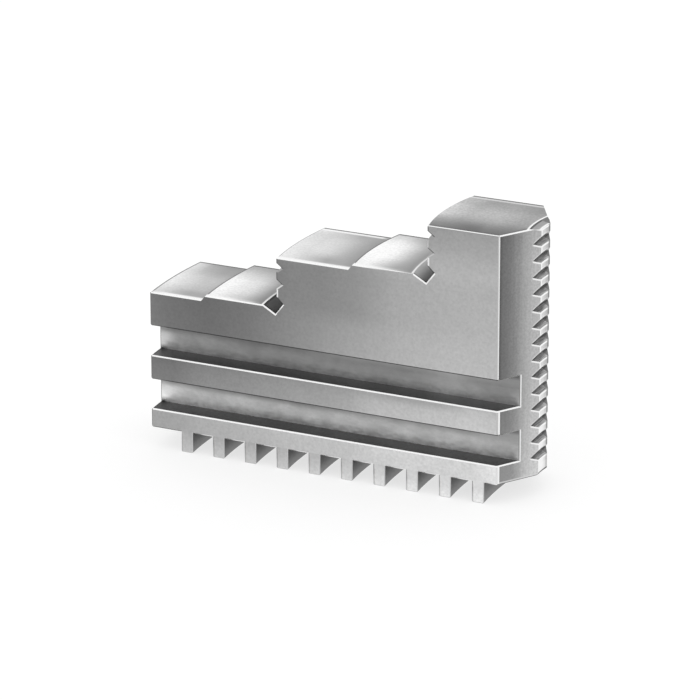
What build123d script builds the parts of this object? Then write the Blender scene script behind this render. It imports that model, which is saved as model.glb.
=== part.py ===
from build123d import *
from math import cos, floor, hypot, radians, sin, sqrt, tan
import os

# Hard stepped jaw of a three-jaw scroll chuck: one piece of hardened, ground steel.
# It stands on the tips of its scroll teeth. +X points at the chuck axis, Y runs across
# the jaw and Z is up, along the chuck axis. The origin is under the middle of the
# jaw's outline, on the plane of the tooth tips. All sizes are in millimetres.

# Plan, with radii measured from the chuck axis
WIDTH = 22.8
TIP_RADIUS = 23.2         # hollow gripping land at the tip
TIP_WIDTH = 4.5
NOSE_ANGLE = 60.0         # each nose flat to the jaw's centre line, degrees
NOSE_LENGTH = 22.6        # tip to the upper riser
MIDDLE_STEP = 33.8        # upper riser to the lower riser
OUTER_STEP = 29.5         # lower riser to the outer end

# Levels, from the tooth tips upwards
TOOTH_HEIGHT = 4.5
RAIL_HEIGHT = 4.2         # between the teeth and the lower guide groove
GROOVE_HEIGHT = 6.6
RIB_HEIGHT = 5.35         # between the two guide grooves
BLOCK_HEIGHT = 7.45       # upper guide groove to the outer step
STEP_RISE = 11.8          # each step to the next

GROOVE_DEPTH = 5.0

# Raised, crescent-shaped seat at the foot of each riser
SEAT_LENGTH = 16.4
SEAT_RISE = 1.05
SEAT_RAMP = 0.85

# Gripping notches across each riser
NOTCHES = 2
NOTCH_FIRST = 2.2         # upper apex below the step
NOTCH_PITCH = 3.6
NOTCH_DEPTH = 1.3
NOTCH_HEIGHT = 2.0

# Slanted relief slot in the corner of each seat and riser
RELIEF_ON_SEAT = 3.05
RELIEF_ON_RISER = 2.1
RELIEF_FLOOR = 2.9        # width of the slot's floor
RELIEF_DEPTH = 0.8        # floor beyond the theoretical corner
RELIEF_ANGLE = 53.0       # slope of the floor, degrees

# Serrated tip
BEVEL_LENGTH = 2.0
BEVEL_DROP = 0.5
SERRATION_FIRST = 3.35    # upper apex below the top
SERRATION_PITCH = 3.56
SERRATION_DEPTH = 1.28
SERRATION_ABOVE = 1.28    # upper flank's height
SERRATION_BELOW = 0.72    # lower flank's height

# Scroll teeth
TOOTH_PITCH = 7.5
TOOTH_THICKNESS = 2.7
TOOTH_RADIUS = 95.0       # hollow inner flank
TOOTH_SETBACK = 7.06      # outer end to the first tooth, along a side face

# Broken edges
BREAK = 0.25
TOOTH_BREAK = 0.18

SAME = 0.0001             # lengths closer than this are equal

# Levels and radii that follow
HALF = WIDTH / 2
GROOVE_WALL = HALF - GROOVE_DEPTH
UNDERSIDE = TOOTH_HEIGHT
LOWER_GROOVE = UNDERSIDE + RAIL_HEIGHT
UPPER_GROOVE = LOWER_GROOVE + GROOVE_HEIGHT + RIB_HEIGHT
OUTER_TOP = UPPER_GROOVE + GROOVE_HEIGHT + BLOCK_HEIGHT
MIDDLE_TOP = OUTER_TOP + STEP_RISE
TOP = MIDDLE_TOP + STEP_RISE
UPPER_RISER = TIP_RADIUS + NOSE_LENGTH
LOWER_RISER = UPPER_RISER + MIDDLE_STEP
END_RADIUS = LOWER_RISER + OUTER_STEP


def on_circle(radius, y):
    """Distance along X from a circle's centre to its point at this y."""
    return sqrt(radius ** 2 - y ** 2)


TIP_X = on_circle(TIP_RADIUS, TIP_WIDTH / 2)
CORNER_X = TIP_X + (HALF - TIP_WIDTH / 2) / tan(radians(NOSE_ANGLE))
CHUCK_AXIS_X = (END_RADIUS + TIP_X) / 2


def riser_points(radius, step, seat):
    """Section of one riser, downwards, as (radius, height) points."""
    points = [(radius - BREAK, step), (radius, step - BREAK)]
    for i in range(NOTCHES):
        apex = step - NOTCH_FIRST - i * NOTCH_PITCH
        points += [
            (radius, apex + NOTCH_HEIGHT / 2),
            (radius - NOTCH_DEPTH, apex),
            (radius, apex - NOTCH_HEIGHT / 2),
        ]
    across, down = sin(radians(RELIEF_ANGLE)), cos(radians(RELIEF_ANGLE))
    floor_r = radius - RELIEF_DEPTH * across
    floor_z = seat - RELIEF_DEPTH * down
    half_r, half_z = RELIEF_FLOOR / 2 * down, RELIEF_FLOOR / 2 * across
    return points + [
        (radius, seat + RELIEF_ON_RISER),
        (floor_r - half_r, floor_z + half_z),
        (floor_r + half_r, floor_z - half_z),
        (radius + RELIEF_ON_SEAT, seat),
    ]


def step_points(radius, step):
    """Section of one step, outwards: the riser above it, its seat and its ramp."""
    seat = step + SEAT_RISE
    seat_end = radius + SEAT_LENGTH
    points = riser_points(radius, step + STEP_RISE, seat)
    return points + [(seat_end, seat), (seat_end + SEAT_RAMP, step)]


def tip_points():
    """Section of the serrated tip, upwards, with as many serrations as it holds.

    The land under the lowest one keeps room for its own broken edge.
    """
    room = TOP - UNDERSIDE - SERRATION_FIRST - SERRATION_BELOW - 2 * BREAK
    points = []
    for i in reversed(range(floor(room / SERRATION_PITCH) + 1)):
        apex = TOP - SERRATION_FIRST - i * SERRATION_PITCH
        points += [
            (TIP_RADIUS, apex - SERRATION_BELOW),
            (TIP_RADIUS + SERRATION_DEPTH, apex),
            (TIP_RADIUS, apex + SERRATION_ABOVE),
        ]
    return points


def turned_ring():
    """The jaw's radial section turned about the chuck axis, as the jaw is ground."""
    section = [
        (TIP_RADIUS, UNDERSIDE),
        *tip_points(),
        (TIP_RADIUS, TOP - BEVEL_DROP),
        (TIP_RADIUS + BEVEL_LENGTH, TOP),
        *step_points(UPPER_RISER, MIDDLE_TOP),
        *step_points(LOWER_RISER, OUTER_TOP),
        (END_RADIUS, OUTER_TOP),
        (END_RADIUS, UNDERSIDE),
    ]
    # drawn on the far side of the axis, so that the jaw's faces have no seam
    outline = Polyline(*[(r, 0, z) for r, z in section], close=True)
    return revolve(make_face(outline), axis=Axis.Z)


def plan_prism():
    """Parallel sides and the two nose flats, carried on past the tip's edges."""
    along, over = cos(radians(NOSE_ANGLE)), sin(radians(NOSE_ANGLE))
    half = [
        (-END_RADIUS - BREAK, HALF),
        (-CORNER_X, HALF),
        (-TIP_X + TIP_WIDTH * along / 2, TIP_WIDTH * (1 - over) / 2),
    ]
    mirrored = [(x, -y) for x, y in reversed(half)]
    outline = Polyline(*[(x, y, 0) for x, y in half + mirrored], close=True)
    return extrude(make_face(outline), amount=TOP + BREAK, dir=(0, 0, 1))


def guide_groove(side, bottom):
    """Cutter for one guide groove, from the outer end out through the nose flat."""
    corner = Vector(-END_RADIUS - BREAK, GROOVE_WALL, bottom)
    cutter = Box(END_RADIUS, GROOVE_DEPTH + BREAK, GROOVE_HEIGHT,
                 align=(Align.MIN, Align.MIN, Align.MIN))
    cutter = Pos(corner) * cutter
    return cutter if side > 0 else mirror(cutter, Plane.XZ)


def scroll_tooth(setback):
    """One scroll tooth: a curved bar across the jaw, standing in its underside."""
    outer = TOOTH_RADIUS + TOOTH_THICKNESS
    centre = on_circle(outer, HALF) - on_circle(END_RADIUS, HALF) + setback
    outer_x = centre - on_circle(outer, HALF)
    inner_x = centre - on_circle(TOOTH_RADIUS, HALF)
    outline = [
        ThreePointArc((outer_x, -HALF), (centre - outer, 0), (outer_x, HALF)),
        Line((outer_x, HALF), (inner_x, HALF)),
        ThreePointArc((inner_x, HALF), (centre - TOOTH_RADIUS, 0), (inner_x, -HALF)),
        Line((inner_x, -HALF), (outer_x, -HALF)),
    ]
    bar = extrude(make_face(outline), amount=TOOTH_HEIGHT + RAIL_HEIGHT / 2, dir=(0, 0, 1))
    return chamfer(bar.edges() - bar.faces().sort_by(Axis.Z)[-1].edges(), TOOTH_BREAK)


def scroll_teeth():
    """As many teeth as fit between the outer end and the nose's corners."""
    row = on_circle(END_RADIUS, HALF) - TOOTH_SETBACK - TOOTH_THICKNESS - CORNER_X
    return [scroll_tooth(TOOTH_SETBACK + i * TOOTH_PITCH)
            for i in range(floor(row / TOOTH_PITCH) + 1)]


def near(a, b):
    return abs(a - b) < SAME


def is_level(edge):
    return edge.geom_type == GeomType.LINE and near(edge.tangent_at(0).Z, 0)


def is_upright(edge):
    return edge.geom_type == GeomType.LINE and near(abs(edge.tangent_at(0).Z), 1)


def is_long_edge(edge):
    """Edges round the steps, the outer end, the ribs, the nose and the underside."""
    middle = edge.center()
    out, across, height = hypot(middle.X, middle.Y), abs(middle.Y), middle.Z
    groove_levels = [z + h for z in (LOWER_GROOVE, UPPER_GROOVE) for h in (0, GROOVE_HEIGHT)]
    if near(across, 0):
        return False
    if is_level(edge) and height > OUTER_TOP - BREAK:
        return True
    if near(height, UNDERSIDE):
        return True
    if any(near(height, z) for z in groove_levels):
        return across > GROOVE_WALL + BREAK
    if is_upright(edge) and (near(across, GROOVE_WALL) or near(out, hypot(CORNER_X, HALF))):
        return True
    return near(out, END_RADIUS)


def is_riser_edge(edge):
    """Outline of a riser, its notches and its relief on either side face."""
    middle = edge.center()
    for radius, foot in ((UPPER_RISER, MIDDLE_TOP), (LOWER_RISER, OUTER_TOP)):
        out = hypot(middle.X, middle.Y) - radius
        beside = -RELIEF_FLOOR < out < RELIEF_ON_SEAT
        over = foot - RELIEF_FLOOR < middle.Z < foot + STEP_RISE - BREAK
        if near(abs(middle.Y), HALF) and beside and over and not is_level(edge):
            return True
    return False


def break_edges(solid):
    for is_wanted in (is_long_edge, is_riser_edge):
        solid = chamfer(solid.edges().filter_by(is_wanted), BREAK)
    return solid


def jaw():
    """The whole jaw: one half has its edges broken, is mirrored and gets the teeth."""
    blank = turned_ring() & plan_prism()
    blank -= [guide_groove(side, z) for side in (-1, 1) for z in (LOWER_GROOVE, UPPER_GROOVE)]
    half = break_edges(split(blank, Plane.XZ, keep=Keep.TOP))
    blank = half + mirror(half, Plane.XZ) + scroll_teeth()
    return (Pos(CHUCK_AXIS_X, 0, 0) * blank).solid()


os.makedirs("parts", exist_ok=True)
export_step(jaw(), "parts/chuck_jaw.step")
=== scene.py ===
"""Looks of a hard chuck jaw: ground steel, painted shade on guide ledges, painted highlights on
broken edges.
"""

import logging
import math
from collections.abc import Callable, Iterator
from dataclasses import dataclass
from enum import Enum

import bmesh
import bpy
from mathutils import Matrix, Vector

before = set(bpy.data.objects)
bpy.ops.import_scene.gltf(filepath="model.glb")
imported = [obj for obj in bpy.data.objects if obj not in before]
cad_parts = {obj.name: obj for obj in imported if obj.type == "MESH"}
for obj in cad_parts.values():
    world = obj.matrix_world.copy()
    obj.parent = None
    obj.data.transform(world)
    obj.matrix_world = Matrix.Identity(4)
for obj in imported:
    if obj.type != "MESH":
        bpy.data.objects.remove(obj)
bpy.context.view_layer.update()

MM = 0.001
LOG = logging.getLogger("chuck_jaw")

# The sRGB curve, from a tone to linear light.
FULL_TONE = 255.0
SRGB_KNEE = 0.04045
SRGB_SLOPE = 12.92
SRGB_OFFSET = 0.055
SRGB_POWER = 2.4

# The noise that gives the darkest and the lightest tint, and what it does to the roughness.
LOW_NOISE = 0.3
HIGH_NOISE = 0.7
ROUGHNESS_SPREAD = 0.06

Point = tuple[float, float, float]
Colour = tuple[float, float, float, float]
Stop = tuple[float, float]
WHITE: Colour = (1.0, 1.0, 1.0, 1.0)


class Region(Enum):
    """The surfaces of the jaw that differ in finish and in painted light and shade."""

    BLOCK_SIDE = "block_side"
    RIB_SIDE = "rib_side"
    RAIL_SIDE = "rail_side"
    TOOTH_END = "tooth_end"
    UPPER_GROOVE_WALL = "upper_groove_wall"
    LOWER_GROOVE_WALL = "lower_groove_wall"
    LEDGE = "ledge"
    GROOVE_ROOF = "groove_roof"
    OUTER_STEP = "outer_step"
    OUTER_SEAT = "outer_seat"
    MIDDLE_STEP = "middle_step"
    MIDDLE_SEAT = "middle_seat"
    NOSE_TOP = "nose_top"
    SEAT_RAMP = "seat_ramp"
    NOSE_FLAT = "nose_flat"
    OUTER_END = "outer_end"
    RISER = "riser"
    NOTCH = "notch"
    OUTER_RELIEF = "outer_relief"
    MIDDLE_RELIEF = "middle_relief"
    BEVEL = "bevel"
    TIP_LAND = "tip_land"
    TIP_ROOF = "tip_roof"
    TIP_SHELF = "tip_shelf"
    TOOTH_FLANK = "tooth_flank"
    UNDERSIDE = "underside"
    # Broken edges, each with its painted highlight or painted shade.
    PAINTED_HIGHLIGHT_EDGE = "bright_edge"
    PAINTED_SOFT_HIGHLIGHT_EDGE = "soft_edge"
    PAINTED_SHADE_AND_LIGHT_RISER_EDGE = "quiet_edge"
    CORNER_EDGE = "corner_edge"
    NOSE_EDGE = "nose_edge"
    NOTCH_EDGE = "notch_edge"
    SEAT_EDGE = "seat_edge"
    PAINTED_SHADE_EDGE = "dark_edge"


class Place(Enum):
    """The ways to say where on the jaw a tone lies, in millimetres.

    ALONG runs towards the nose, ACROSS from the front side to the back, and SIDEWAYS from the
    middle plane to either side. HEIGHT starts at the tips of the scroll teeth, and RADIUS at the
    chuck axis. FLAT_DEPTH is how far a point lies behind a nose flat. The others repeat with the
    serrations and with the gaps between the scroll teeth.
    """

    ALONG = "along"
    ACROSS = "across"
    SIDEWAYS = "sideways"
    HEIGHT = "height"
    RADIUS = "radius"
    FLAT_DEPTH = "flat_depth"
    SERRATION = "serration"
    UNDER_SERRATION = "under_serration"
    OVER_SERRATION = "over_serration"
    GAP = "gap"


@dataclass(frozen=True)
class JawShape:
    """Sizes that tell the jaw's surfaces apart, in millimetres from its own frame.

    The radii are taken from the chuck axis, which stands at axis_x. The first gap between the
    scroll teeth starts at tooth_gap_x. The last five are limits on the parts of a face's normal,
    which has a length of one.
    """

    axis_x: float = 66.0953
    half_length: float = 43.0
    half_width: float = 11.4
    underside: float = 4.5
    lower_groove: float = 8.7
    lower_roof: float = 15.3
    upper_groove: float = 20.65
    outer_top: float = 34.7
    middle_top: float = 46.5
    top: float = 58.3
    seat_rise: float = 1.05
    tip_x: float = 43.0047
    tip_half_width: float = 2.25
    tip_radius: float = 23.2
    bevel_length: float = 2.0
    bevel_drop: float = 1.0
    serration_first: float = 3.35
    serration_pitch: float = 3.56
    serration_depth: float = 1.28
    serration_above: float = 1.28
    serration_below: float = 0.72
    notch_depth: float = 1.3
    notch_half: float = 1.0
    lower_notch: float = 5.8
    tooth_gap_x: float = -32.63
    tooth_pitch: float = 7.5
    upper_riser: float = 45.8
    lower_riser: float = 79.6
    end_radius: float = 109.1
    relief_reach: float = 3.05
    relief_height: float = 2.1
    nose_angle: float = 60.0
    nose_corner_x: float = 37.72
    edge_break: float = 0.25
    slack: float = 0.03
    upright: float = 0.01
    square: float = 0.999
    slanted: float = 0.3
    shallow: float = 0.9
    off_centre: float = 0.05

    @property
    def bevel_radius(self) -> float:
        """The radius at which the bevel over the tip starts."""
        return self.tip_radius + self.bevel_length

    @property
    def riser_foot(self) -> float:
        """How far over its step a riser starts, above the seat and the relief slot."""
        return self.seat_rise + self.relief_height

    @property
    def notch_foot(self) -> float:
        """How far under its top the lower notch of a riser starts."""
        return self.lower_notch + self.notch_half

    def region(self, at: Vector, normal: Vector) -> Region:
        """Tells which surface of the jaw a small face belongs to.

        Args:
            at: The face's centre, in millimetres.
            normal: The face's outward normal.

        Returns:
            The surface.
        """
        if abs(normal.z) > self.square:
            return self._level(at, normal)
        if abs(normal.y) > self.square:
            return self._side(at)
        if at.z < self.underside - self.slack:
            flank = abs(normal.z) < self.upright and abs(normal.y) < self.slanted
            return Region.TOOTH_FLANK if flank else Region.PAINTED_SOFT_HIGHLIGHT_EDGE
        return self._turned(at, normal)

    def _level(self, at: Vector, normal: Vector) -> Region:
        """Tells the level surfaces apart by their height.

        Args:
            at: The face's centre.
            normal: The face's outward normal, straight up or down.

        Returns:
            The surface.
        """
        if normal.z < 0:
            return Region.UNDERSIDE if at.z < self.lower_groove else Region.GROOVE_ROOF
        heights = {
            self.lower_groove: Region.LEDGE,
            self.upper_groove: Region.LEDGE,
            self.outer_top: Region.OUTER_STEP,
            self.outer_top + self.seat_rise: Region.OUTER_SEAT,
            self.middle_top: Region.MIDDLE_STEP,
            self.middle_top + self.seat_rise: Region.MIDDLE_SEAT,
            self.top: Region.NOSE_TOP,
        }
        nearest = min(heights, key=lambda level: abs(level - at.z))
        return heights[nearest]

    def _side(self, at: Vector) -> Region:
        """Tells the surfaces that face across the jaw apart.

        Args:
            at: The face's centre.

        Returns:
            The surface.
        """
        if abs(at.y) < self.half_width - self.slack:
            lower = at.z < self.lower_roof
            return Region.LOWER_GROOVE_WALL if lower else Region.UPPER_GROOVE_WALL
        if at.z < self.underside:
            return Region.TOOTH_END
        if at.z < self.lower_groove:
            return Region.RAIL_SIDE
        return Region.RIB_SIDE if at.z < self.upper_groove else Region.BLOCK_SIDE

    def _turned(self, at: Vector, normal: Vector) -> Region:
        """Tells the surfaces turned about the chuck axis and the nose flats apart.

        Args:
            at: The face's centre.
            normal: The face's outward normal.

        Returns:
            The surface.
        """
        outward = Vector((at.x - self.axis_x, at.y))
        out = outward.length
        reach = math.hypot(normal.x, normal.y)
        spoke = abs(outward.normalized().dot(Vector((normal.x, normal.y))))
        if abs(spoke - reach) > self.off_centre * reach:
            facing = abs(normal.x - math.sin(math.radians(self.nose_angle))) < self.upright
            flat = abs(normal.z) < self.upright and facing
            return Region.NOSE_FLAT if flat else self._edge(at, normal, out)
        if out < self.bevel_radius:
            return self._tip(at, normal)
        if out > self.end_radius - self.edge_break - self.slack:
            return Region.OUTER_END if abs(normal.z) < self.upright else Region.PAINTED_SHADE_EDGE
        lower = out > self.lower_riser - 2 * self.relief_reach
        riser = self.lower_riser if lower else self.upper_riser
        step = self.outer_top if lower else self.middle_top
        above = at.z - step - self.seat_rise
        if out > riser + self.relief_reach:
            return Region.SEAT_RAMP
        if above < self.relief_height + self.slack:
            if abs(normal.z) < self.upright and above > self.relief_height - self.slack:
                return Region.RISER
            return Region.OUTER_RELIEF if lower else Region.MIDDLE_RELIEF
        if abs(normal.z) < self.upright:
            return Region.RISER
        near_top = at.z > (self.middle_top if lower else self.top) - self.edge_break
        return Region.PAINTED_SOFT_HIGHLIGHT_EDGE if near_top else Region.NOTCH

    def _tip(self, at: Vector, normal: Vector) -> Region:
        """Tells the tip's land, bevel and serrations apart.

        Args:
            at: The face's centre.
            normal: The face's outward normal.

        Returns:
            The surface.
        """
        if abs(normal.z) < self.upright:
            return Region.TIP_LAND
        if at.z > self.top - self.bevel_drop and normal.z > self.shallow:
            return Region.BEVEL
        return Region.TIP_SHELF if normal.z > 0 else Region.TIP_ROOF

    def _edge(self, at: Vector, normal: Vector, out: float) -> Region:
        """Tells the broken edges apart by the painted highlight or painted shade that each gets.

        Args:
            at: The face's centre.
            normal: The face's outward normal.
            out: How far the face lies from the chuck axis.

        Returns:
            The kind of edge.
        """
        if out > self.end_radius - 2 * self.edge_break:
            return Region.PAINTED_SHADE_EDGE
        for riser, step in ((self.upper_riser, self.top), (self.lower_riser, self.middle_top)):
            apex = step - self.lower_notch
            if abs(out - riser) < self.notch_depth + self.edge_break:
                if apex + self.slack < at.z < step - self.edge_break:
                    return Region.PAINTED_SHADE_AND_LIGHT_RISER_EDGE
                if apex - self.notch_half < at.z < apex:
                    return Region.NOTCH_EDGE
        if at.z > self.top - self.edge_break and abs(at.y) > self.half_width - self.edge_break:
            return Region.NOSE_EDGE
        below_seat = self.middle_top + self.seat_rise - at.z
        if abs(normal.x) < self.upright and 0 < below_seat < self.edge_break:
            return Region.SEAT_EDGE
        if abs(normal.z) < self.upright and at.x > self.nose_corner_x - self.edge_break:
            return Region.CORNER_EDGE
        on_nose = abs(at.y) < self.half_width - self.edge_break
        # Edges facing up or sideways get a painted highlight. Downward edges get painted shade on
        # the sides above the rail, and on the nose and outside the first tooth gap at the rail; the
        # rest get a painted highlight.
        if normal.z >= -self.slanted:
            return Region.PAINTED_HIGHLIGHT_EDGE
        below = at.z < self.lower_groove
        shaded = (on_nose or at.x < self.tooth_gap_x) if below else not on_nose
        return Region.PAINTED_SHADE_EDGE if shaded else Region.PAINTED_HIGHLIGHT_EDGE


def even(share: float) -> Colour:
    """A share from 0 to 1 as a colour, as a ramp holds it."""
    return (share, share, share, 1.0)


def grey(level: float) -> Colour:
    """A neutral steel tone.

    Args:
        level: The tone as a picture shows it under plain light, 0 to 255.

    Returns:
        The colour, in linear light.
    """
    share = level / FULL_TONE
    if share <= SRGB_KNEE:
        return even(share / SRGB_SLOPE)
    return even(((share + SRGB_OFFSET) / (1 + SRGB_OFFSET)) ** SRGB_POWER)


def metres(point: Point) -> Vector:
    """The point, given in millimetres, in metres."""
    return Vector(point) * MM


def named(sockets: bpy.types.bpy_prop_collection, identifier: str) -> bpy.types.NodeSocket:
    """The socket with this identifier, where several share a name."""
    return next(socket for socket in sockets if socket.identifier == identifier)


class EffectGroup:
    """A shader node group that several finishes share."""

    def __init__(self, name: str, inputs: dict[str, str], outputs: dict[str, str]) -> None:
        """Makes an empty group.

        Args:
            name: The group's name.
            inputs: Each input's name and kind of socket.
            outputs: Each output's name and kind of socket.
        """
        self.tree = bpy.data.node_groups.new(name, "ShaderNodeTree")
        for side, sockets in (("INPUT", inputs), ("OUTPUT", outputs)):
            for title, kind in sockets.items():
                self.tree.interface.new_socket(title, in_out=side, socket_type=kind)
        self.inlet = self.tree.nodes.new("NodeGroupInput")
        self.outlet = self.tree.nodes.new("NodeGroupOutput")

    def node(self, kind: str, **settings: object) -> bpy.types.Node:
        """Adds a node to the group.

        Args:
            kind: The node's kind.
            settings: The values to set on it.

        Returns:
            The node.
        """
        made = self.tree.nodes.new(kind)
        for title, value in settings.items():
            setattr(made, title, value)
        return made

    def link(self, start: bpy.types.NodeSocket, end: bpy.types.NodeSocket) -> None:
        """Joins two sockets of the group."""
        self.tree.links.new(start, end)

    def math(self, operation: str, *values: bpy.types.NodeSocket | float) -> bpy.types.NodeSocket:
        """Adds a sum.

        Args:
            operation: What the node does.
            values: What it does it to, sockets or plain numbers.

        Returns:
            The result.
        """
        made = self.node("ShaderNodeMath", operation=operation)
        for slot, value in zip(made.inputs, values):
            if isinstance(value, (int, float)):
                slot.default_value = value
            else:
                self.link(value, slot)
        return made.outputs["Value"]

    def place(self) -> bpy.types.NodeSocket:
        """Finds the point of the jaw that is shaded.

        Returns:
            The socket that gives the point, in millimetres.
        """
        coordinates = self.node("ShaderNodeTexCoord")
        scaled = self.node("ShaderNodeVectorMath", operation="SCALE")
        scaled.inputs["Scale"].default_value = 1 / MM
        self.link(coordinates.outputs["Object"], scaled.inputs[0])
        return scaled.outputs["Vector"]


def place_group(shape: JawShape) -> EffectGroup:
    """Every way to say where on the jaw a point lies.

    Args:
        shape: The jaw's sizes.

    Returns:
        The group.
    """
    group = EffectGroup("jaw_places", {}, {place.value: "NodeSocketFloat" for place in Place})
    parts = group.node("ShaderNodeSeparateXYZ")
    group.link(group.place(), parts.inputs[0])
    x, y, z = parts.outputs["X"], parts.outputs["Y"], parts.outputs["Z"]
    aside = group.math("ABSOLUTE", y)
    from_axis = group.math("SUBTRACT", x, shape.axis_x)
    squares = group.math("ADD", group.math("POWER", from_axis, 2.0), group.math("POWER", y, 2.0))
    slope = math.radians(shape.nose_angle)
    edge = math.sin(slope) * shape.tip_x + math.cos(slope) * shape.tip_half_width
    forward = group.math("MULTIPLY", x, math.sin(slope))
    beside = group.math("MULTIPLY", aside, math.cos(slope))
    out = group.math("SQRT", squares)
    below_first = group.math("SUBTRACT", shape.top - shape.serration_first, z)
    down = group.math("FLOORED_MODULO", below_first, shape.serration_pitch)
    depth = group.math("SUBTRACT", out, shape.tip_radius)
    slant = group.math("MULTIPLY", depth, shape.serration_below / shape.serration_depth)
    shelf = group.math("SUBTRACT", down, shape.serration_below)
    roof_foot = shape.serration_pitch - shape.serration_above
    roof = group.math("SUBTRACT", down, roof_foot)
    from_gap = group.math("SUBTRACT", x, shape.tooth_gap_x)
    values = {
        Place.ALONG: x,
        Place.ACROSS: y,
        Place.SIDEWAYS: aside,
        Place.HEIGHT: z,
        Place.RADIUS: out,
        Place.FLAT_DEPTH: group.math("SUBTRACT", edge, group.math("ADD", forward, beside)),
        Place.SERRATION: down,
        Place.UNDER_SERRATION: group.math("ADD", shelf, slant),
        Place.OVER_SERRATION: group.math("SUBTRACT", depth, roof),
        Place.GAP: group.math("FLOORED_MODULO", from_gap, shape.tooth_pitch),
    }
    for place, value in values.items():
        group.link(value, group.outlet.inputs[place.value])
    return group


def noise_group(name: str, detail: float) -> EffectGroup:
    """A tint about one and a height from noise, stretched as the finish asks.

    Args:
        name: The group's name.
        detail: How many finer layers the noise has.

    Returns:
        The group.
    """
    group = EffectGroup(name, {"Waves": "NodeSocketVector", "Amount": "NodeSocketFloat"},
                        {"Tint": "NodeSocketFloat", "Height": "NodeSocketFloat"})
    stretched = group.node("ShaderNodeVectorMath", operation="MULTIPLY")
    group.link(group.place(), stretched.inputs[0])
    group.link(group.inlet.outputs["Waves"], stretched.inputs[1])
    noise = group.node("ShaderNodeTexNoise")
    noise.inputs["Scale"].default_value = 1.0
    noise.inputs["Detail"].default_value = detail
    group.link(stretched.outputs["Vector"], noise.inputs["Vector"])
    ranged = group.node("ShaderNodeMapRange")
    ranged.inputs["From Min"].default_value = LOW_NOISE
    ranged.inputs["From Max"].default_value = HIGH_NOISE
    ranged.inputs["To Min"].default_value = -1.0
    group.link(noise.outputs["Fac"], ranged.inputs["Value"])
    tint = group.math("MULTIPLY_ADD", ranged.outputs["Result"], group.inlet.outputs["Amount"], 1.0)
    group.link(tint, group.outlet.inputs["Tint"])
    group.link(noise.outputs["Fac"], group.outlet.inputs["Height"])
    return group


@dataclass(frozen=True)
class Tones:
    """Values at places in millimetres: a finish's tones to 255, the steel's grey with painted light
    and shade, or a line's shares to 1.
    """

    place: Place
    stops: tuple[Stop, ...]


@dataclass(frozen=True)
class Line:
    """A narrow line of one tone, as strong as all its shares together, from 0 to 1; most are
    painted highlights or painted shade.
    """

    level: float
    shares: tuple[Tones, ...]


@dataclass(frozen=True)
class Noise:
    """A noise over the surface: waves in a millimetre along each axis, and how strong."""

    waves: Point
    amount: float


@dataclass(frozen=True)
class ShadedSteelFinish:
    """One ground or milled finish of the jaw's steel with its painted light and shade, whose runs
    of tones are multiplied.
    """

    tones: tuple[Tones, ...]
    lines: tuple[Line, ...] = ()
    roughness: float = 0.42
    grain: Noise = Noise((2.6, 2.6, 2.6), 0.03)
    clouds: Noise = Noise((0.16, 0.16, 0.16), 0.02)
    lay: Noise = Noise((0.05, 4.0, 4.0), 0.01)
    lay_depth: float = 0.004


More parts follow.
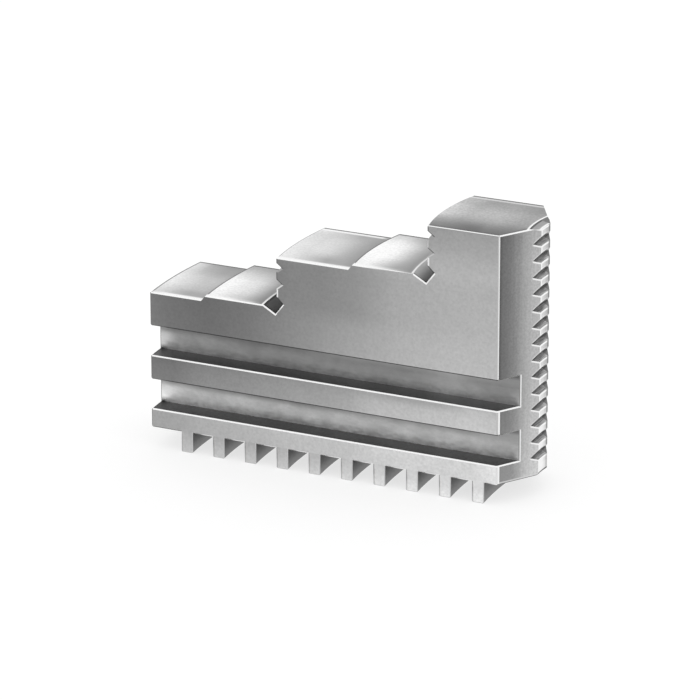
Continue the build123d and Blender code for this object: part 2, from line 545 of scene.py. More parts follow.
class Workshop:
    """Makes the jaw's materials from its finishes, with their painted light and shade."""

    def __init__(self, shape: JawShape) -> None:
        """Builds the effects that all the finishes share.

        Args:
            shape: The jaw's sizes.
        """
        self.places = place_group(shape)
        self.grain = noise_group("fine_grain", 2.0)
        self.clouds = noise_group("soft_clouds", 3.0)
        self.lay = noise_group("grinding_lay", 2.0)

    def material(self, name: str, finish: ShadedSteelFinish) -> bpy.types.Material:
        """Makes one material.

        Args:
            name: The material's name.
            finish: The finish that it shows, with its painted light and shade.

        Returns:
            The material.
        """
        made = bpy.data.materials.new(name)
        made.use_nodes = True
        tree = made.node_tree
        shader = tree.nodes["Principled BSDF"]
        shader.inputs["Metallic"].default_value = 1.0
        places = self._placed(tree, self.places)
        tone = self._product(tree, places, finish.tones, grey)
        heights = {}
        for group, noise in ((self.clouds, finish.clouds), (self.grain, finish.grain),
                             (self.lay, finish.lay)):
            placed = self._placed(tree, group)
            placed.inputs["Waves"].default_value = noise.waves
            placed.inputs["Amount"].default_value = noise.amount
            tone = self._times(tree, tone, placed.outputs["Tint"])
            heights[group] = placed.outputs["Height"]
        for line in finish.lines:
            tone = self._drawn(tree, places, tone, line)
        tree.links.new(tone, shader.inputs["Base Color"])
        self._roughness(tree, shader, heights[self.grain], finish.roughness)
        bump = tree.nodes.new("ShaderNodeBump")
        bump.inputs["Distance"].default_value = finish.lay_depth * MM
        tree.links.new(heights[self.lay], bump.inputs["Height"])
        tree.links.new(bump.outputs["Normal"], shader.inputs["Normal"])
        return made

    def _placed(self, tree: bpy.types.NodeTree, group: EffectGroup) -> bpy.types.Node:
        """Puts a shared effect in a material.

        Args:
            tree: The material's nodes.
            group: The effect.

        Returns:
            The node that stands for it.
        """
        placed = tree.nodes.new("ShaderNodeGroup")
        placed.node_tree = group.tree
        return placed

    def _run(self, tree: bpy.types.NodeTree, places: bpy.types.Node, run: Tones,
             colour: Callable[[float], Colour]) -> bpy.types.NodeSocket:
        """The value at each place of a run.

        Args:
            tree: The material's nodes.
            places: The node that tells the places.
            run: The places and their tones or shares.
            colour: What makes a colour of a value.

        Returns:
            The socket that gives the value.
        """
        start, end = run.stops[0][0], run.stops[-1][0]
        ranged = tree.nodes.new("ShaderNodeMapRange")
        ranged.inputs["From Min"].default_value = start
        ranged.inputs["From Max"].default_value = end
        tree.links.new(places.outputs[run.place.value], ranged.inputs["Value"])
        ramp = tree.nodes.new("ShaderNodeValToRGB")
        marks = ramp.color_ramp.elements
        while len(marks) < len(run.stops):
            marks.new(0.5)
        for mark, (at, value) in zip(marks, run.stops):
            mark.position = (at - start) / (end - start)
            mark.color = colour(value)
        tree.links.new(ranged.outputs["Result"], ramp.inputs["Fac"])
        return ramp.outputs["Color"]

    def _times(self, tree: bpy.types.NodeTree, first: bpy.types.NodeSocket,
               second: bpy.types.NodeSocket) -> bpy.types.NodeSocket:
        """Multiplies two values.

        Args:
            tree: The material's nodes.
            first: The one value.
            second: The other value.

        Returns:
            The socket that gives their product.
        """
        product = tree.nodes.new("ShaderNodeVectorMath")
        product.operation = "MULTIPLY"
        tree.links.new(first, product.inputs[0])
        tree.links.new(second, product.inputs[1])
        return product.outputs["Vector"]

    def _product(self, tree: bpy.types.NodeTree, places: bpy.types.Node,
                 runs: tuple[Tones, ...],
                 colour: Callable[[float], Colour]) -> bpy.types.NodeSocket:
        """Multiplies the values of several runs.

        Args:
            tree: The material's nodes.
            places: The node that tells the places.
            runs: The runs.
            colour: What makes a colour of a value.

        Returns:
            The socket that gives their product.
        """
        total = self._run(tree, places, runs[0], colour)
        for run in runs[1:]:
            total = self._times(tree, total, self._run(tree, places, run, colour))
        return total

    def _drawn(self, tree: bpy.types.NodeTree, places: bpy.types.Node,
               tone: bpy.types.NodeSocket, line: Line) -> bpy.types.NodeSocket:
        """Draws a line, most often a painted highlight or painted shade, over the tone.

        Args:
            tree: The material's nodes.
            places: The node that tells the places.
            tone: The socket that gives the tone so far.
            line: The line.

        Returns:
            The socket that gives the tone with the line.
        """
        share = self._product(tree, places, line.shares, even)
        mix = tree.nodes.new("ShaderNodeMix")
        mix.data_type = "RGBA"
        tree.links.new(share, named(mix.inputs, "Factor_Float"))
        tree.links.new(tone, named(mix.inputs, "A_Color"))
        named(mix.inputs, "B_Color").default_value = grey(line.level)
        return named(mix.outputs, "Result_Color")

    def _roughness(self, tree: bpy.types.NodeTree, shader: bpy.types.Node,
                   grain: bpy.types.NodeSocket, middle: float) -> None:
        """Lets the roughness follow the grain.

        Args:
            tree: The material's nodes.
            shader: The material's shader.
            grain: The socket that gives the grain's height.
            middle: The roughness about which it varies.
        """
        ranged = tree.nodes.new("ShaderNodeMapRange")
        ranged.inputs["From Min"].default_value = LOW_NOISE
        ranged.inputs["From Max"].default_value = HIGH_NOISE
        ranged.inputs["To Min"].default_value = middle - ROUGHNESS_SPREAD
        ranged.inputs["To Max"].default_value = middle + ROUGHNESS_SPREAD
        tree.links.new(grain, ranged.inputs["Value"])
        tree.links.new(ranged.outputs["Result"], shader.inputs["Roughness"])


SHAPE = JawShape()


def along(*stops: Stop) -> Tones:
    """Tones at places along the jaw."""
    return Tones(Place.ALONG, stops)


def across(*stops: Stop) -> Tones:
    """Tones at places across the jaw."""
    return Tones(Place.ACROSS, stops)


def sideways(*stops: Stop) -> Tones:
    """Tones at distances from the jaw's middle plane."""
    return Tones(Place.SIDEWAYS, stops)


def height(*stops: Stop) -> Tones:
    """Tones at heights over the tips of the scroll teeth."""
    return Tones(Place.HEIGHT, stops)


def radius(*stops: Stop) -> Tones:
    """Tones at distances from the chuck axis."""
    return Tones(Place.RADIUS, stops)


def serration(*stops: Stop) -> Tones:
    """Tones at places down each serration."""
    return Tones(Place.SERRATION, stops)


def stroke(level: float, *shares: Tones) -> Line:
    """A line of this tone, as strong as all its shares together; most are painted highlights or
    painted shade.
    """
    return Line(level, shares)


def steel(*tones: Tones, **more: object) -> ShadedSteelFinish:
    """A finish with these tones of painted light and shade, and any other values that a finish has.
    """
    return ShadedSteelFinish(tones, **more)


def plain(level: float, roughness: float = 0.4, **more: object) -> ShadedSteelFinish:
    """A finish with one tone all over, set as the painted light and shade of its surface.

    Args:
        level: The tone, 0 to 255.
        roughness: The steel's roughness.
        more: Any other values of the finish.

    Returns:
        The finish.
    """
    run = along((-SHAPE.half_length, level), (SHAPE.half_length, level))
    return steel(run, roughness=roughness, **more)


def front_highlight(*shares: Tones) -> Line:
    """The painted highlight line behind a step's front edge, weakened by any other shares."""
    return stroke(248.0, across((-SHAPE.half_width, 1.0), (-10.7, 1.0), (-9.9, 0.0)), *shares)


def back_shade(strength: float) -> Line:
    """The thin painted shade line in front of a step's back edge."""
    return stroke(88.0, across((10.5, 0.0), (10.7, strength), (11.2, strength)))


def shade(*shares: Tones) -> Line:
    """A soft darker patch on a step, as strong as all its shares together."""
    return stroke(130.0, *shares)


def arc_shade(start: float, end: float, level: float) -> Line:
    """A thin painted shade line of this tone along an outer arc, between two radii."""
    return stroke(level, radius((start, 0.0), (start + 0.1, 1.0), (end, 1.0)))


def wall_end(ledge: float) -> tuple[Line, Line]:
    """The painted shade at the foot and the painted highlight in the middle of a groove wall's
    outer end.

    Args:
        ledge: The height of the ledge that the wall stands on.

    Returns:
        The two lines.
    """
    foot = stroke(95.0, along((-SHAPE.half_length, 1.0), (-42.0, 0.9), (-41.0, 0.25), (-40.0, 0.0)),
                  height((ledge, 1.0), (ledge + 0.25, 0.9), (ledge + 0.68, 0.5),
                         (ledge + 1.25, 0.0)))
    middle = stroke(250.0, along((-SHAPE.half_length, 0.3), (-41.0, 0.3), (-38.5, 0.0)),
                    height((ledge + 1.6, 0.0), (ledge + 2.3, 1.0), (ledge + 3.2, 1.0),
                           (ledge + 4.2, 0.0)))
    return foot, middle


def riser_highlight(riser: float, step: float, top: float) -> Line:
    """The painted highlight line beside a riser, between its relief and its lower notch.

    Args:
        riser: The riser's radius.
        step: The height of the step at its foot.
        top: The height of the step over it.

    Returns:
        The line.
    """
    foot = step + SHAPE.riser_foot
    head = top - SHAPE.notch_foot
    return stroke(250.0, radius((riser - 0.5, 0.0), (riser - 0.38, 1.0), (riser, 1.0)),
                  height((foot, 0.0), (foot + 0.1, 1.0), (head - 0.1, 1.0), (head, 0.0)))


CLOUDY_WALL = Noise((0.22, 0.22, 0.35), 0.12)
DULL_CLOUDS = Noise((0.2, 0.2, 0.2), 0.06)
SPECKS = Noise((1.8, 1.8, 1.8), 0.09)
STIPPLE = Noise((2.2, 2.2, 2.2), 0.10)
NOSE_GRAIN = Noise((2.2, 2.2, 2.2), 0.13)
MOTTLES = Noise((1.9, 1.9, 1.9), 0.19)
SCRATCHES = Noise((0.9, 1.8, 1.8), 0.10)
UPRIGHT_STREAKS = Noise((1.6, 1.6, 0.05), 0.05)
BEVEL_LAY = Noise((3.0, 0.3, 0.3), 0.12)
TURNED_STREAKS = Noise((4.6, 0.3, 4.6), 0.6)

# Most lines are painted highlights along edges or painted shade in grooves, slots and under
# overhangs.
# The tones are the steel's grey with painted light and shade, surface by surface and along each
# one.
SHADED_FINISHES: dict[Region, ShadedSteelFinish] = {
    # Painted light: darker at the outer end, lighter towards the nose and darker towards the top,
    # with a painted shade patch and painted highlights beside the risers.
    Region.BLOCK_SIDE: steel(
        along((-42.0, 129.0), (-37.0, 121.5), (-29.0, 116.5), (-20.0, 126.0), (-8.0, 149.0),
              (4.0, 168.5), (16.0, 185.0), (27.0, 191.0), (37.5, 193.5)),
        height((27.2, 255.0), (32.2, 251.0), (37.2, 243.0), (45.2, 240.0), (48.7, 246.0),
               (51.2, 239.5), (54.2, 226.0), (58.2, 215.0)),
        lines=(stroke(100.0, along((-10.0, 0.0), (-2.0, 0.22), (5.0, 0.22), (14.0, 0.0)),
                      height((33.5, 0.0), (37.0, 1.0), (46.5, 1.0))),
               riser_highlight(SHAPE.upper_riser, SHAPE.middle_top, SHAPE.top),
               riser_highlight(SHAPE.lower_riser, SHAPE.outer_top, SHAPE.middle_top)),
        grain=SPECKS),
    # Painted light: lighter towards the nose and darker up to its top edge, with a painted shade
    # patch.
    Region.RIB_SIDE: steel(
        along((-42.0, 133.0), (-37.0, 131.0), (-32.0, 145.0), (-26.0, 150.0), (-14.0, 162.0),
              (-2.0, 171.0), (4.0, 178.0), (10.0, 195.0), (22.0, 200.0), (32.0, 209.0),
              (37.5, 205.0)),
        height((15.5, 255.0), (18.2, 247.0), (19.8, 238.0), (20.5, 230.0)),
        lines=(stroke(120.0, along((4.0, 0.0), (12.0, 0.25), (25.0, 0.25), (31.0, 0.0)),
                      height((18.6, 0.0), (19.8, 1.0), (20.5, 1.0))),),
        grain=SPECKS),
    # Painted light: lighter towards the nose.
    Region.RAIL_SIDE: steel(
        along((-42.0, 169.0), (-37.0, 172.0), (-32.0, 181.0), (-14.0, 196.0), (-2.0, 202.0),
              (4.0, 203.0), (10.0, 214.0), (22.0, 218.0), (32.0, 217.0), (37.5, 238.0)),
        grain=SPECKS),
    # Painted light: lighter towards the nose and the tips, with a painted highlight patch and
    # painted shade at each gap's edge.
    Region.TOOTH_END: steel(
        along((-36.0, 203.0), (-20.0, 209.0), (-4.0, 216.0), (11.0, 233.0), (34.0, 245.0)),
        height((0.0, 255.0), (1.2, 252.0), (2.6, 238.0), (SHAPE.underside, 226.0)),
        lines=(stroke(232.0, along((5.0, 0.0), (33.0, 0.5)), height((2.0, 0.0), (4.4, 1.0))),
               stroke(150.0, Tones(Place.GAP, ((4.8, 0.6), (5.05, 0.6), (5.2, 0.0))),
                      height((0.0, 1.0), (3.2, 1.0), (4.2, 0.0)))),
        grain=SPECKS),
    # Painted shade: darker up towards the roof, a painted shadow band under it, a lighter and a
    # darker painted patch, and painted shade and highlight at the outer end.
    Region.UPPER_GROOVE_WALL: steel(
        along((-42.0, 225.0), (-40.0, 207.0), (-37.0, 199.0), (-26.0, 190.0), (-20.0, 179.0),
              (0.0, 187.0), (12.0, 180.0), (18.0, 185.0), (26.0, 216.0), (34.0, 192.0),
              (41.0, 184.0)),
        height((20.7, 255.0), (21.3, 255.0), (22.2, 240.0), (23.2, 216.0), (24.2, 197.0),
               (25.4, 174.0)),
        lines=(stroke(200.0, along((-8.0, 0.0), (4.0, 0.25), (40.0, 0.25)),
                      height((24.4, 0.0), (25.4, 1.0), (27.2, 1.0))),
               stroke(60.0, along((-41.0, 0.25), (-20.0, 0.2), (-10.0, 0.0)),
                      height((24.3, 0.0), (25.4, 1.0), (27.2, 1.0))),
               stroke(95.0, height((26.1, 0.0), (26.8, 0.75), (27.2, 0.75))),
               *wall_end(SHAPE.upper_groove)),
        grain=SCRATCHES,
        clouds=CLOUDY_WALL),
    # Painted shade: darker up towards the roof, a painted shadow band under it, a lighter and a
    # darker painted patch, and painted shade and highlight at the outer end.
    Region.LOWER_GROOVE_WALL: steel(
        along((-42.0, 255.0), (-40.0, 252.0), (-37.0, 238.0), (-26.0, 238.0), (-14.0, 227.0),
              (-2.0, 237.0), (4.0, 230.0), (26.0, 234.0), (34.0, 228.0), (41.0, 203.0)),
        height((SHAPE.lower_groove, 255.0), (9.6, 255.0), (10.2, 251.0), (11.2, 230.0),
               (12.2, 211.0), (13.5, 158.0)),
        lines=(stroke(200.0, along((28.0, 0.0), (33.0, 0.25), (40.0, 0.35)),
                      height((12.4, 0.0), (13.3, 1.0), (SHAPE.lower_roof, 1.0))),
               stroke(70.0, along((-38.0, 0.15), (-14.0, 0.25), (-2.0, 0.15), (4.0, 0.0)),
                      height((12.4, 0.0), (13.3, 1.0), (SHAPE.lower_roof, 1.0))),
               stroke(105.0, height((14.1, 0.0), (14.8, 0.75), (SHAPE.lower_roof, 0.75))),
               *wall_end(SHAPE.lower_groove)),
        grain=SCRATCHES,
        clouds=CLOUDY_WALL),
    # Painted shade: the ledges are dark in the groove's shade, the lower one darker, lighter
    # towards the nose, with a painted shade line at the outer end.
    Region.LEDGE: steel(
        along((-42.0, 84.0), (-38.0, 82.0), (-32.0, 86.0), (-8.0, 89.0), (10.0, 99.0),
              (22.0, 100.0), (41.0, 108.0)),
        height((SHAPE.lower_groove, 186.0), (SHAPE.upper_groove, 255.0)),
        lines=(stroke(30.0, radius((108.45, 0.0), (108.6, 1.0), (SHAPE.end_radius, 1.0))),)),
    # Painted shade on the roofs, which face down.
    Region.GROOVE_ROOF: plain(90.0),
    # Painted light: lighter outwards and in the middle, painted shade patches, a painted highlight
    # patch at the far outer back, painted shade lines at the back edge and outer arc, and a painted
    # highlight behind the front edge.
    Region.OUTER_STEP: steel(
        radius((97.0, 184.0), (99.0, 195.0), (101.0, 198.0), (103.0, 209.0), (105.0, 219.0),
               (107.0, 234.0), (109.0, 244.0)),
        across((-9.0, 232.0), (-6.0, 244.0), (-2.5, 255.0), (0.5, 253.0), (3.0, 244.0),
               (6.0, 226.0), (9.0, 214.0), (11.0, 200.0)),
        lines=(shade(across((2.0, 0.0), (6.0, 0.25), (11.0, 0.3)),
                     radius((97.0, 0.6), (100.0, 1.0), (104.0, 0.7), (106.0, 0.0))),
               shade(across((-9.9, 1.0), (-8.0, 1.0), (-6.0, 0.0)),
                     radius((98.0, 0.2), (101.0, 0.3), (103.0, 0.2), (105.0, 0.0))),
               stroke(252.0, across((3.0, 0.0), (8.0, 0.4), (11.0, 0.4)),
                      radius((105.5, 0.0), (108.0, 1.0), (109.0, 1.0))),
               back_shade(0.85),
               arc_shade(108.45, 108.85, 145.0),
               front_highlight(radius((106.0, 1.0), (107.5, 0.55), (109.0, 0.4)))),
        grain=STIPPLE),
    # Painted light: darker towards the riser and the back, a painted shade patch, painted shade
    # lines at the back edge and outer arc, and painted highlights behind the front edge and along
    # the relief.
    Region.OUTER_SEAT: steel(
        radius((82.6, 124.0), (84.0, 144.0), (86.0, 189.0), (88.0, 219.0), (90.0, 232.0),
               (92.0, 240.0), (94.0, 251.0), (96.0, 251.0)),
        across((-9.0, 245.0), (-6.0, 255.0), (-2.0, 255.0), (1.0, 253.0), (3.0, 239.0),
               (6.0, 216.0), (9.0, 186.0), (11.0, 172.0)),
        lines=(shade(across((-9.0, 1.0), (-5.0, 0.0)),
                     radius((84.0, 0.2), (89.0, 0.15), (93.0, 0.0))),
               back_shade(1.0),
               arc_shade(95.65, 96.0, 105.0),
               front_highlight(radius((83.0, 0.0), (86.0, 0.35), (88.0, 0.3), (90.0, 0.6), (92.0, 1.0))),
               stroke(240.0, radius((82.65, 1.0), (83.0, 1.0), (83.25, 0.0)),
                      across((-11.0, 1.0), (-4.0, 0.7), (2.0, 0.0)))),
        grain=STIPPLE),
    # Painted light: darker towards the riser, painted shade patches, a painted highlight inside the
    # back edge, painted shade lines at the back edge and outer arc, and a painted highlight behind
    # the front edge.
    Region.MIDDLE_STEP: steel(
        radius((63.3, 156.0), (65.0, 169.0), (67.0, 187.0), (69.0, 207.0), (71.0, 221.0),
               (73.0, 227.0), (75.0, 226.0), (77.0, 233.0), (79.5, 240.0)),
        across((-9.0, 251.0), (-6.0, 250.0), (-3.0, 249.0), (0.0, 249.0), (3.0, 246.0),
               (6.0, 240.0), (9.0, 243.0), (10.8, 255.0)),
        lines=(shade(across((-10.0, 1.0), (-8.0, 1.0), (-4.0, 0.0), (5.0, 0.0), (9.0, 0.8),
                            (10.0, 0.8), (10.6, 0.0)),
                     radius((65.0, 0.1), (69.0, 0.6), (73.0, 0.3), (76.0, 0.0))),
               stroke(250.0, across((9.4, 0.0), (9.8, 0.85), (10.4, 0.85), (10.6, 0.0)),
                      radius((64.0, 0.0), (65.5, 1.0), (77.0, 1.0))),
               back_shade(0.9),
               arc_shade(79.15, 79.6, 145.0),
               front_highlight()),
        grain=STIPPLE),
    # Painted light: darker towards the riser and the back, painted shade at both sides, painted
    # shade lines at the back edge and outer arc, and painted highlights behind the front edge and
    # along the relief.
    Region.MIDDLE_SEAT: steel(
        radius((48.8, 152.0), (50.0, 148.0), (52.0, 178.0), (54.0, 214.0), (56.0, 244.0),
               (58.0, 254.0), (62.2, 255.0)),
        across((-9.0, 244.0), (-6.0, 250.0), (-3.0, 255.0), (0.0, 255.0), (3.0, 252.0),
               (6.0, 243.0), (9.0, 218.0), (11.0, 198.0)),
        lines=(shade(sideways((4.0, 0.0), (9.0, 1.0)),
                     radius((50.0, 0.0), (53.0, 0.45), (56.0, 0.35), (59.5, 0.0))),
               back_shade(1.0),
               arc_shade(61.85, 62.2, 105.0),
               front_highlight(radius((49.0, 0.0), (52.0, 0.15), (60.0, 1.0))),
               stroke(240.0, radius((48.8, 1.0), (49.15, 1.0), (49.4, 0.0)),
                      across((-11.0, 1.0), (0.0, 0.7), (4.0, 0.0)))),
        grain=STIPPLE),
    # Painted light: darker at the front and towards the bevel, painted highlights inside the back
    # edge and along the bevel, painted shade at the back edge and beside the front flat, and a dark
    # spot near the front.
    Region.NOSE_TOP: steel(
        radius((SHAPE.bevel_radius, 168.0), (28.0, 169.0), (31.0, 179.0), (34.0, 185.0),
               (36.0, 183.0), (38.0, 183.0), (40.0, 185.0), (42.0, 197.0), (44.0, 207.0),
               (45.7, 219.0)),
        across((-11.15, 118.0), (-10.7, 130.0), (-10.0, 150.0), (-9.0, 160.0), (-8.0, 171.0),
               (-6.0, 200.0), (-3.0, 240.0), (0.0, 255.0), (3.0, 250.0), (6.0, 232.0), (9.0, 221.0),
               (11.0, 218.0)),
        lines=(stroke(225.0, across((9.5, 0.0), (9.8, 0.7), (10.4, 0.7), (10.6, 0.0)),
                      radius((27.0, 0.0), (30.0, 1.0), (44.0, 1.0))),
               back_shade(0.9),
               stroke(100.0, Tones(Place.FLAT_DEPTH, ((0.2, 0.75), (0.75, 0.75), (1.1, 0.0))),
                      across((-SHAPE.half_width, 1.0), (-3.2, 1.0), (-2.6, 0.0))),
               stroke(250.0, radius((SHAPE.bevel_radius, 1.0), (25.5, 1.0), (25.75, 0.0))),
               stroke(70.0, radius((34.0, 0.0), (35.5, 0.28), (37.5, 0.28), (40.5, 0.0)),
                      across((-11.15, 1.0), (-8.0, 1.0), (-4.5, 0.0)))),
        grain=MOTTLES,
        clouds=DULL_CLOUDS),
    # One tone, the ramps' painted light.
    Region.SEAT_RAMP: plain(225.0),
    # Painted light: darker towards the sides and up the flat, lighter low by the sides, and painted
    # highlights along the bottom, each serration's edges and the corner by the rib and rail.
    Region.NOSE_FLAT: steel(
        sideways((SHAPE.tip_half_width, 212.0), (4.5, 203.0), (6.1, 184.0), (7.0, 170.0),
                 (7.9, 156.0), (8.8, 145.0), (9.6, 137.0), (10.5, 130.0), (10.9, 118.0),
                 (11.2, 96.0)),
        height((5.0, 255.0), (8.2, 250.0), (16.2, 240.0), (20.2, 233.0), (28.2, 229.0),
               (52.0, 227.0), (58.2, 217.0)),
        lines=(stroke(170.0, sideways((8.0, 0.0), (9.6, 0.45), (SHAPE.half_width, 0.45)),
                      height((SHAPE.underside, 1.0), (SHAPE.lower_groove, 0.9), (15.0, 0.4),
                             (20.0, 0.2), (22.0, 0.0))),
               stroke(244.0, Tones(Place.UNDER_SERRATION, ((-0.06, 0.0), (0.0, 1.0), (0.26, 1.0),
                                                           (0.42, 0.0))),
                      radius((24.35, 1.0), (24.6, 0.0))),
               stroke(215.0, Tones(Place.OVER_SERRATION, ((-0.06, 0.0), (0.0, 0.8), (0.2, 0.8),
                                                          (0.4, 0.0))),
                      radius((24.3, 1.0), (24.5, 0.0))),
               stroke(215.0, height((SHAPE.underside, 0.8), (5.0, 0.8), (5.15, 0.0))),
               stroke(248.0, sideways((10.78, 0.0), (10.86, 1.0), (SHAPE.half_width, 1.0)),
                      height((SHAPE.underside, 1.0), (20.6, 1.0), (20.7, 0.0)))),
        grain=NOSE_GRAIN,
        lay=UPRIGHT_STREAKS),
    # One tone each, the painted light and shade of the outer end, the risers and the notches.
    Region.OUTER_END: plain(165.0),
    Region.RISER: plain(180.0),
    Region.NOTCH: plain(130.0),
    # Painted shade in the relief slot, near black, darkest along its edges.
    Region.OUTER_RELIEF: steel(
        radius((79.8, 66.0), (81.0, 70.0), (82.65, 76.0)),
        lines=(stroke(35.0, radius((82.2, 0.0), (82.35, 0.9), (82.65, 0.9))),
               stroke(30.0, across((-11.15, 0.9), (-10.75, 0.9), (-10.45, 0.0))),
               stroke(25.0, radius((79.8, 0.9), (80.0, 0.9), (80.15, 0.0))))),
    # Painted shade in the relief slot, darker towards the riser and at the front.
    Region.MIDDLE_RELIEF: steel(
        radius((46.0, 108.0), (46.8, 124.0), (47.6, 150.0), (48.4, 176.0), (48.85, 184.0)),
        lines=(stroke(90.0, across((-11.15, 0.7), (-10.8, 0.7), (-10.5, 0.0))),)),
    # Painted light: a painted highlight along its lower edge and painted shade along its upper edge
    # and at the back.
    Region.BEVEL: steel(
        radius((SHAPE.tip_radius, 172.0), (SHAPE.bevel_radius, 155.0)),
        lines=(stroke(85.0, radius((24.7, 0.0), (24.85, 1.0), (SHAPE.bevel_radius, 1.0))),
               stroke(250.0, radius((SHAPE.tip_radius, 1.0), (23.45, 1.0), (23.65, 0.0))),
               stroke(120.0, across((1.9, 0.0), (2.1, 1.0), (3.5, 1.0)))),
        lay=BEVEL_LAY),
    # Painted light: lighter at the front and low down, painted highlights along the front edge and
    # under each serration, and painted shade at the back and along the bottom.
    Region.TIP_LAND: steel(
        serration((0.7, 225.0), (0.8, 230.0), (1.95, 232.0), (2.1, 252.0), (2.3, 252.0)),
        across((-SHAPE.tip_half_width, 255.0), (-1.7, 247.0), (-1.3, 243.0), (-0.5, 237.0),
               (0.3, 224.0), (0.85, 210.0), (SHAPE.tip_half_width, 204.0)),
        lines=(stroke(252.0, height((SHAPE.underside, 1.0), (7.95, 1.0), (8.5, 0.8), (14.0, 0.85),
                                    (18.0, 0.5), (26.0, 0.0)),
                      across((-SHAPE.tip_half_width, 1.0), (-0.4, 0.95), (0.6, 0.7), (1.5, 0.4))),
               stroke(252.0, across((-SHAPE.tip_half_width, 1.0), (-1.8, 1.0), (-1.5, 0.0))),
               stroke(252.0, serration((0.74, 0.0), (0.82, 1.0), (1.08, 1.0), (1.25, 0.0))),
               stroke(125.0, across((1.4, 0.0), (1.75, 0.85), (SHAPE.tip_half_width, 0.85)),
                      height((7.95, 0.45), (8.5, 1.0))),
               stroke(75.0, height((SHAPE.underside, 1.0), (4.95, 1.0), (5.1, 0.0)))),
        grain=STIPPLE),
    # Painted shade on the serrations' shelves, darker to the front and up under each roof, with
    # painted shade lines at the back and the outer edge.
    Region.TIP_SHELF: steel(
        serration((0.0, 158.0), (0.35, 168.0), (0.72, 178.0)),
        across((-5.0, 206.0), (-2.5, 222.0), (0.0, 234.0), (2.3, 244.0)),
        lines=(stroke(120.0, across((1.9, 0.0), (2.1, 1.0), (4.0, 1.0))),
               stroke(70.0, radius((24.0, 0.0), (24.3, 0.6), (24.5, 0.6)),
                      across((-5.0, 1.0), (-0.5, 0.8), (2.0, 0.1)))),
        lay=TURNED_STREAKS),
    Region.TIP_ROOF: plain(170.0),
    # Painted shade: darker up towards the rail.
    Region.TOOTH_FLANK: steel(
        height((0.0, 148.0), (1.2, 136.0), (2.4, 108.0), (3.4, 88.0), (SHAPE.underside, 68.0)),
        grain=SPECKS),
    # Painted shade on the underside, which faces down.
    Region.UNDERSIDE: plain(120.0),
    # The broken edges: painted highlights on most, painted shade on the riser edges and on those in
    # shade.
    Region.PAINTED_HIGHLIGHT_EDGE: plain(252.0, roughness=0.3),
    Region.PAINTED_SOFT_HIGHLIGHT_EDGE: plain(205.0, roughness=0.35),
    # Painted highlight on the notch edges, dimmer on the upper riser.
    Region.NOTCH_EDGE: steel(height((39.7, 222.0), (40.7, 222.0), (51.5, 195.0), (52.5, 195.0))),
    # Painted shade on the riser edges by the notches, with painted highlight bands.
    Region.PAINTED_SHADE_AND_LIGHT_RISER_EDGE: steel(
        height((40.7, 60.0), (43.2, 60.0), (43.35, 165.0), (44.2, 165.0), (44.35, 60.0),
               (46.5, 60.0), (52.5, 85.0), (53.4, 85.0), (53.6, 215.0), (55.0, 215.0),
               (55.2, 160.0), (56.0, 160.0), (56.15, 90.0), (58.1, 90.0))),
    # Painted highlight on the seat edges, with painted shade lines near the riser.
    Region.SEAT_EDGE: plain(
        252.0,
        roughness=0.3,
        lines=(stroke(160.0, height((47.3, 1.0), (47.4, 1.0), (47.44, 0.0)),
                      radius((49.0, 1.0), (55.0, 0.8), (60.0, 0.0))),
               stroke(180.0, radius((49.0, 0.7), (50.5, 0.6), (52.5, 0.0))))),
    # Painted highlight along the nose's top edge, painted shade just under it.
    Region.NOSE_EDGE: steel(
        height((58.05, 138.0), (58.12, 140.0), (58.15, 242.0), (SHAPE.top, 248.0))),
    # Painted highlights and painted shade across the nose corner edges, toned down by the rib and
    # rail.
    Region.CORNER_EDGE: steel(
        sideways((6.18, 245.0), (6.28, 245.0), (6.32, 140.0), (6.4, 135.0), (11.15, 235.0),
                 (11.29, 235.0), (11.33, 190.0), (SHAPE.half_width, 190.0)),
        lines=(stroke(196.0, height((SHAPE.underside, 1.0), (20.6, 1.0), (20.7, 0.0)),
                      sideways((11.0, 0.0), (11.1, 1.0), (SHAPE.half_width, 1.0))),
               stroke(228.0, height((8.5, 1.0), (SHAPE.lower_groove, 0.0))))),
    # Painted shade on the edges that face into shade.
    Region.PAINTED_SHADE_EDGE: plain(88.0),
}


@dataclass
class Jaw:
    """The jaw itself, whose solid keeps its shape and gets its finishes with their painted light
    and shade.
    """

    shape: JawShape = SHAPE
    node: str = "chuck_jaw"

    def dress(self, workshop: Workshop) -> bpy.types.Object:
        """Gives each surface of the jaw its own finish, with its painted light and shade.

        Args:
            workshop: What makes the materials.

        Returns:
            The jaw's object.
        """
        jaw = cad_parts[self.node]
        jaw.data.materials.clear()
        slots = {}
        for index, region in enumerate(Region):
            jaw.data.materials.append(workshop.material(region.value, SHADED_FINISHES[region]))
            slots[region] = index
        counts = {region: 0 for region in Region}
        for face in jaw.data.polygons:
            region = self.shape.region(face.center / MM, face.normal)
            face.material_index = slots[region]
            counts[region] += 1
        for region, count in counts.items():
            LOG.info("%s: %d faces", region.value, count)
        return jaw


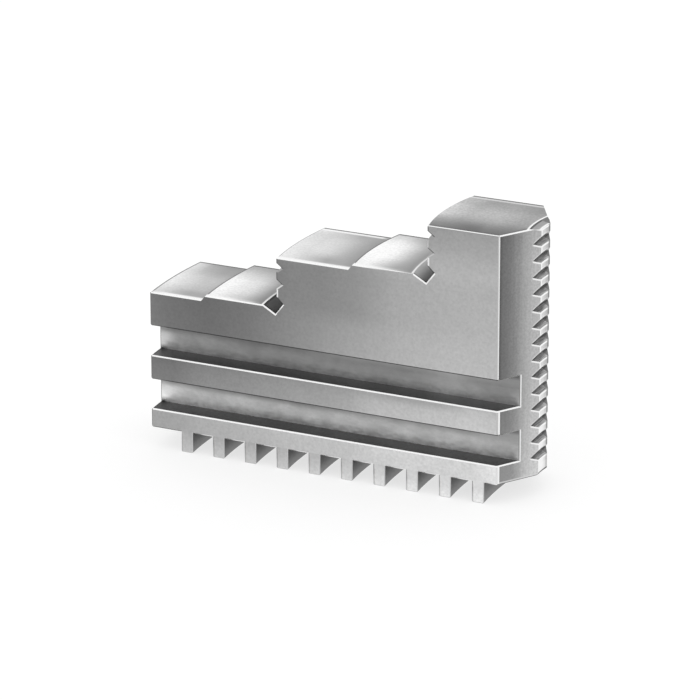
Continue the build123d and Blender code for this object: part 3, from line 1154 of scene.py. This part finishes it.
@dataclass(frozen=True)
class Studio:
    """A pale floor, soft light all round and the camera at the photograph's angle."""

    floor_size: float = 6.0
    floor_drop: float = 0.00002
    floor_tone: float = 0.33
    floor_glow: float = 0.71
    world_light: float = 1.0
    azimuth: float = 25.825
    elevation: float = 19.3435
    camera_at: Point = (400.106, -829.216, 347.837)
    lens: float = 240.0
    sensor: float = 36.0
    nearest: float = 0.05
    farthest: float = 20.0

    def build(self) -> Iterator[bpy.types.Object]:
        """Lights the world, and makes the floor and the camera.

        Yields:
            The floor and then the camera.
        """
        self._light_world()
        yield self._floor()
        yield self._camera()

    def _seen_directly(self, tree: bpy.types.NodeTree) -> bpy.types.NodeSocket:
        """Tells whether the camera, a reflection or a clear piece looks at a surface.

        Args:
            tree: The surface's nodes.

        Returns:
            The socket that gives one where they do, and otherwise zero.
        """
        path = tree.nodes.new("ShaderNodeLightPath")
        total = path.outputs["Is Camera Ray"]
        for ray in ("Is Glossy Ray", "Is Transmission Ray"):
            larger = tree.nodes.new("ShaderNodeMath")
            larger.operation = "MAXIMUM"
            tree.links.new(total, larger.inputs[0])
            tree.links.new(path.outputs[ray], larger.inputs[1])
            total = larger.outputs["Value"]
        return total

    def _light_world(self) -> None:
        """Lights the scene from all round, and shows white where the world is seen."""
        world = bpy.data.worlds.new("studio")
        world.use_nodes = True
        bpy.context.scene.world = world
        tree = world.node_tree
        background = tree.nodes["Background"]
        background.inputs["Color"].default_value = WHITE
        strength = tree.nodes.new("ShaderNodeMapRange")
        strength.inputs["To Min"].default_value = self.world_light
        strength.inputs["To Max"].default_value = 1.0
        tree.links.new(self._seen_directly(tree), strength.inputs["Value"])
        tree.links.new(strength.outputs["Result"], background.inputs["Strength"])

    def _floor(self) -> bpy.types.Object:
        """Makes the pale floor, which keeps a light shadow of the jaw.

        Returns:
            The floor's object.
        """
        mesh = bpy.data.meshes.new("floor")
        shaped = bmesh.new()
        bmesh.ops.create_grid(shaped, x_segments=1, y_segments=1, size=self.floor_size / 2)
        bmesh.ops.translate(shaped, verts=shaped.verts, vec=(0.0, 0.0, -self.floor_drop))
        shaped.to_mesh(mesh)
        shaped.free()
        floor = bpy.data.objects.new("floor", mesh)
        bpy.context.scene.collection.objects.link(floor)
        material = bpy.data.materials.new("pale_floor")
        material.use_nodes = True
        tree = material.node_tree
        paint = tree.nodes["Principled BSDF"]
        paint.inputs["Base Color"].default_value = even(self.floor_tone)
        paint.inputs["Roughness"].default_value = 1.0
        paint.inputs["Specular IOR Level"].default_value = 0.0
        paint.inputs["Emission Color"].default_value = WHITE
        glow = tree.nodes.new("ShaderNodeMath")
        glow.operation = "MULTIPLY"
        glow.inputs[1].default_value = self.floor_glow
        tree.links.new(self._seen_directly(tree), glow.inputs[0])
        tree.links.new(glow.outputs["Value"], paint.inputs["Emission Strength"])
        mesh.materials.append(material)
        return floor

    def _camera(self) -> bpy.types.Object:
        """Places the camera where the photograph was taken from.

        Returns:
            The camera's object.
        """
        turn, rise = math.radians(self.azimuth), math.radians(self.elevation)
        back = Vector((math.sin(turn) * math.cos(rise), -math.cos(turn) * math.cos(rise),
                       math.sin(rise)))
        data = bpy.data.cameras.new("camera")
        data.sensor_width = self.sensor
        data.lens = self.lens
        data.clip_start = self.nearest
        data.clip_end = self.farthest
        camera = bpy.data.objects.new("camera", data)
        camera.location = metres(self.camera_at)
        camera.rotation_mode = "QUATERNION"
        camera.rotation_quaternion = (-back).to_track_quat("-Z", "Y")
        bpy.context.scene.collection.objects.link(camera)
        bpy.context.scene.camera = camera
        return camera


def main() -> None:
    """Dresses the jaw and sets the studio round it."""
    logging.basicConfig(level=logging.INFO, format="%(name)s %(message)s")
    bpy.context.scene.view_settings.view_transform = "Standard"
    finished = Jaw()
    jaw = finished.dress(Workshop(finished.shape))
    LOG.info("dressed %s", jaw.name)
    for piece in Studio().build():
        LOG.info("placed %s", piece.name)


if __name__ == "__main__":
    main()
